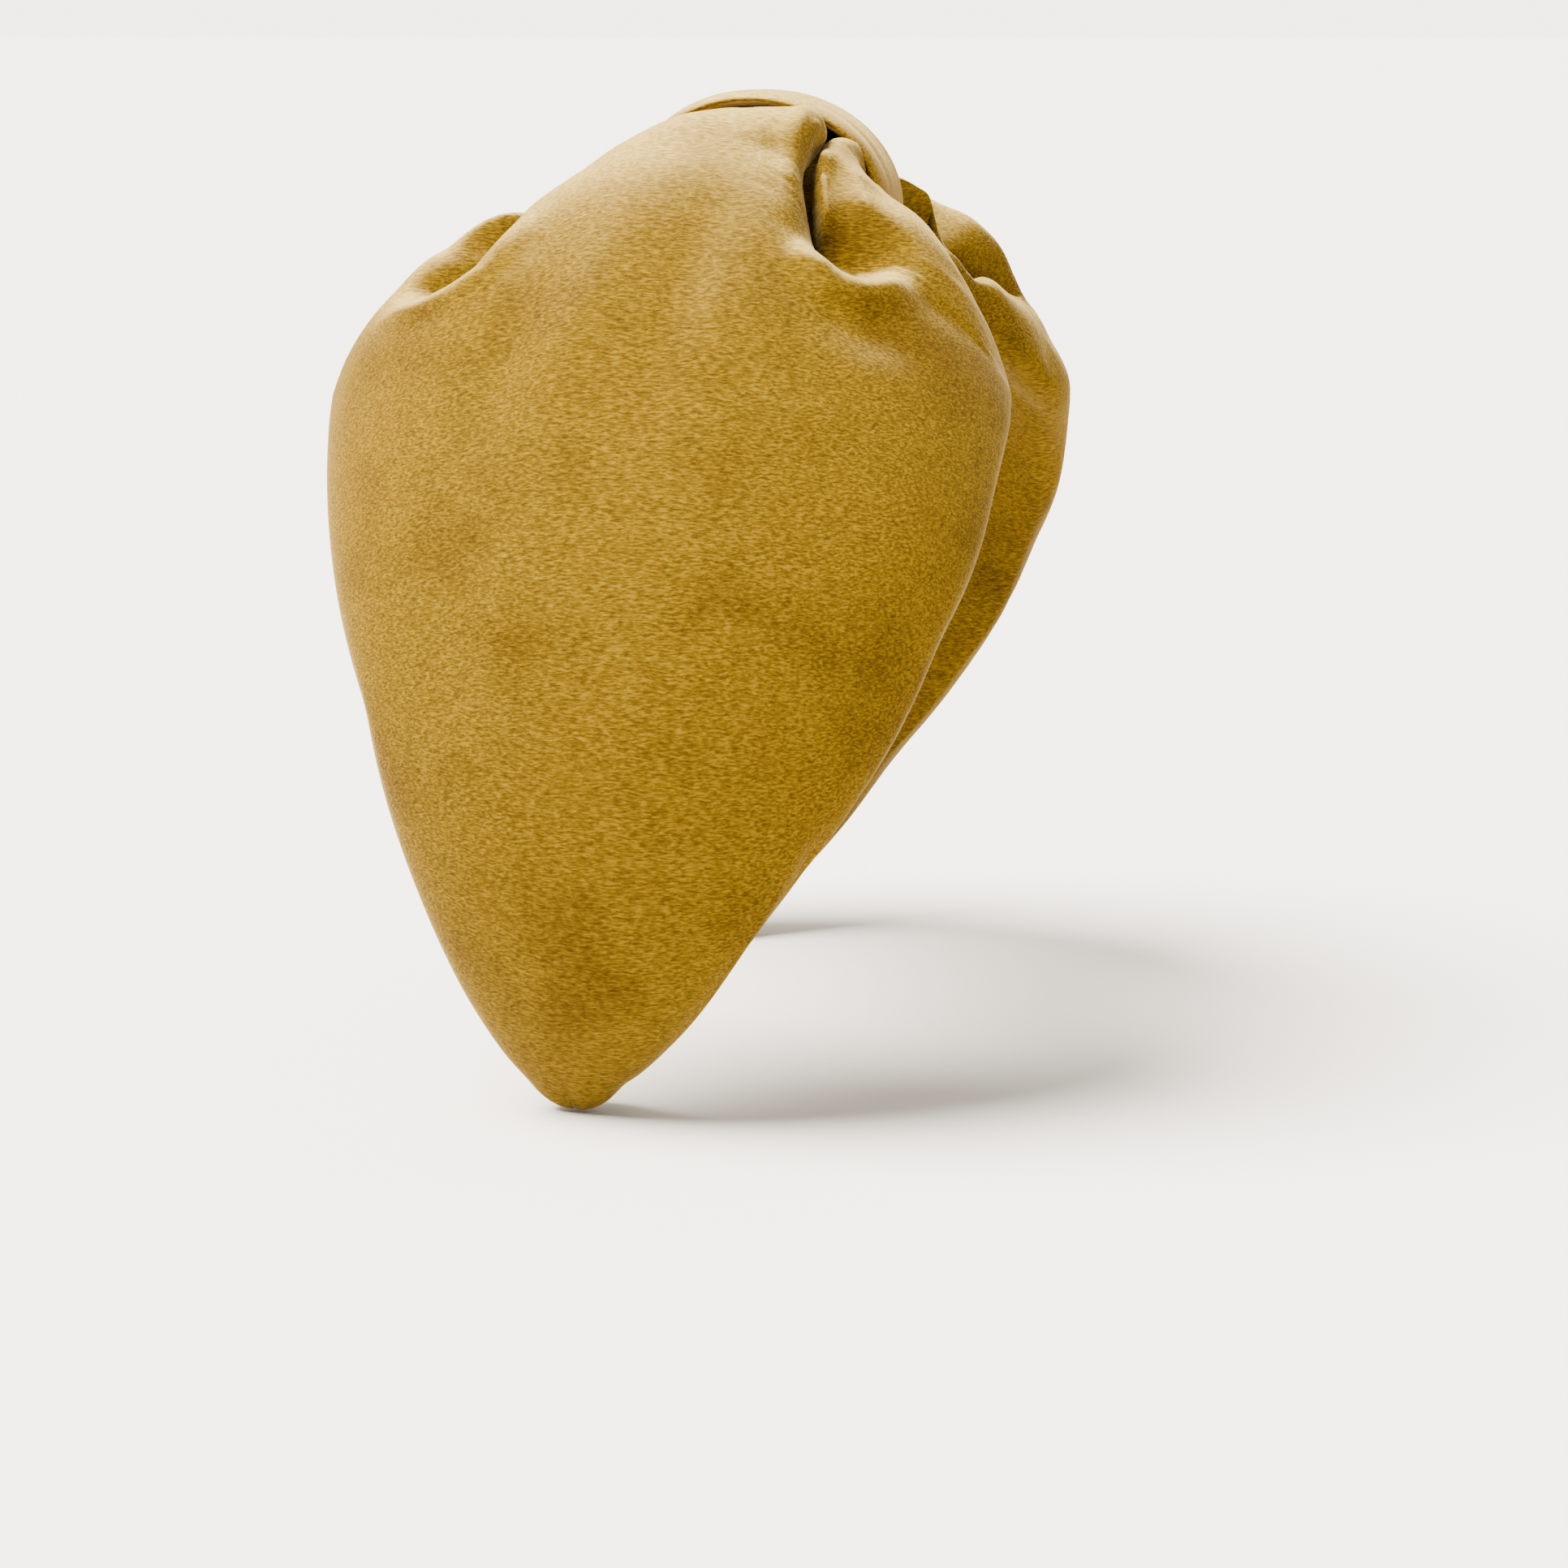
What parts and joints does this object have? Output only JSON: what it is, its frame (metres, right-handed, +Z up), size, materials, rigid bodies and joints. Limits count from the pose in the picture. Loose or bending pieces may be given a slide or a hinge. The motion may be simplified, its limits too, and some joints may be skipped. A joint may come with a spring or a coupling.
{
  "type": "velvet headband",
  "caption": "Padded turban headband in mustard velvet: teardrop side panels gathered into pleats at the crown and wrapped by a folded velvet knot band.",
  "frame": {"origin": "on the crown of the head, where the knot's underside sits on it, under the middle of the knot", "axes": "+Z up, -Y the way the wearer faces, +X to the wearer's left"},
  "size_m": [0.176, 0.1327, 0.1851],
  "materials": {
    "panel_velvet": "short-pile cotton velvet over wadding, matt with a pale sheen at the edges",
    "band_velvet": "the same short-pile velvet, folded into a strap"
  },
  "bodies": {
    "root": {"right_panel": "panel_velvet", "left_panel": "panel_velvet", "knot_band": "band_velvet"}
  },
  "joints": []
}
